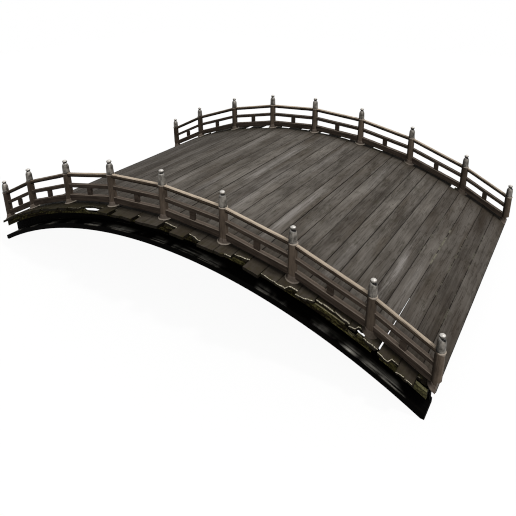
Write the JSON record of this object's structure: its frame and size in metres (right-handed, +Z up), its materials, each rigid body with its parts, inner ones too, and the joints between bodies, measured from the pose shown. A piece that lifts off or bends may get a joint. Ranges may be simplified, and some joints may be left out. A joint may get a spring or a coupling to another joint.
{
  "type": "timber moon bridge",
  "caption": "Steeply arched wooden footbridge with cross planks, arched girders and post-and-rail sides with capped round posts.",
  "frame": {"origin": "on the ground under the crown of the arch, halfway across the deck", "axes": "+X along the span, +Y across the deck from the front railing to the back railing, +Z up"},
  "size_m": [13.9608, 9.036, 3.7606],
  "materials": {
    "deck_wood": "weathered",
    "edge_wood": "mossy",
    "girder_wood": "dark stained",
    "post_wood": "weathered",
    "rail_wood": "weathered",
    "cap_metal": "dark patina"
  },
  "bodies": {
    "root": {"deck_bay_1": "deck_wood", "deck_bay_2": "deck_wood", "deck_bay_3": "deck_wood", "deck_bay_4": "deck_wood", "deck_bay_5": "deck_wood", "deck_bay_6": "deck_wood", "deck_bay_7": "deck_wood", "deck_bay_8": "deck_wood", "edge_beam_front": "edge_wood", "edge_beam_back": "edge_wood", "stringers": "girder_wood", "cross_beams": "girder_wood", "girder_web_front": "girder_wood", "girder_web_inner_front": "girder_wood", "girder_web_inner_back": "girder_wood", "girder_web_back": "girder_wood", "girder_chord_front": "girder_wood", "girder_chord_inner_front": "girder_wood", "girder_chord_inner_back": "girder_wood", "girder_chord_back": "girder_wood", "posts_front": "post_wood", "posts_back": "post_wood", "post_collars_front": "post_wood", "post_collars_back": "post_wood", "post_caps_front": "cap_metal", "post_caps_back": "cap_metal", "handrail_front": "rail_wood", "handrail_back": "rail_wood", "middle_rail_front": "rail_wood", "middle_rail_back": "rail_wood", "bottom_rail_front": "rail_wood", "bottom_rail_back": "rail_wood", "rail_struts_front": "rail_wood", "rail_struts_back": "rail_wood"}
  },
  "joints": []
}
